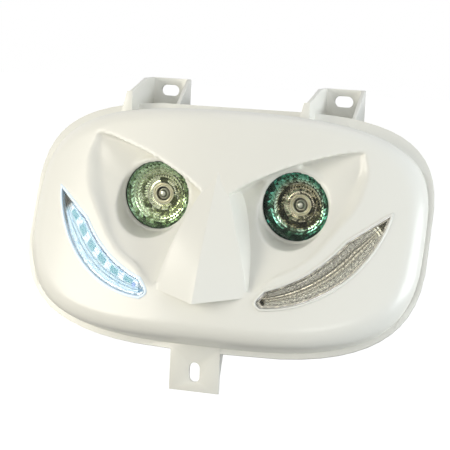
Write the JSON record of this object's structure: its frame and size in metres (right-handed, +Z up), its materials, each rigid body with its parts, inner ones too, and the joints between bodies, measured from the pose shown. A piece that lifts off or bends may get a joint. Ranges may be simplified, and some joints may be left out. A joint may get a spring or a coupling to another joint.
{
  "type": "motorcycle headlight mask",
  "caption": "Domed front mask with a nose wedge, twin round lamps in browed recesses, curved cheek lights, slotted top brackets and a bottom tab.",
  "frame": {"origin": "midway between the middles of the two top mounting slots, on the front face of their plates", "axes": "+X across the mask to the right as seen from its front, -Y out of the front (the way the lamps shine), +Z up"},
  "size_m": [0.298, 0.1286, 0.215],
  "materials": {
    "shell": "glossy injection-moulded plastic, self-coloured white",
    "seal": "matt black sealing ring",
    "lamp_glass": "clear polished front glass",
    "reflector": "facetted glass bowl with a green-brown dichroic mirror coating",
    "capsule": "clear quartz capsule",
    "ceramic": null,
    "contacts": "nickel-plated contact pins",
    "retainer": "black glass-filled plastic",
    "screws": "zinc-plated steel",
    "light_lens": "clear polished plastic lens",
    "light_tray": "metallised plastic trough",
    "board": "white solder-resist diode board",
    "diode": "clear diode domes with a cool white light"
  },
  "bodies": {
    "root": {"mask_shell": "shell", "left_lamp_gasket": "seal", "left_lamp_glass": "lamp_glass", "left_lamp_reflector": "reflector", "left_lamp_capsule": "capsule", "left_lamp_base": "ceramic", "left_lamp_pins": "contacts", "left_lamp_socket": "ceramic", "left_lamp_retainer": "retainer", "right_lamp_gasket": "seal", "right_lamp_glass": "lamp_glass", "right_lamp_reflector": "reflector", "right_lamp_capsule": "capsule", "right_lamp_base": "ceramic", "right_lamp_pins": "contacts", "right_lamp_socket": "ceramic", "right_lamp_retainer": "retainer", "retainer_screws": "screws", "left_led_lens": "light_lens", "left_led_tray": "light_tray", "left_led_board": "board", "left_leds": "diode", "right_led_lens": "light_lens", "right_led_tray": "light_tray", "right_led_board": "board", "right_leds": "diode"}
  },
  "joints": []
}
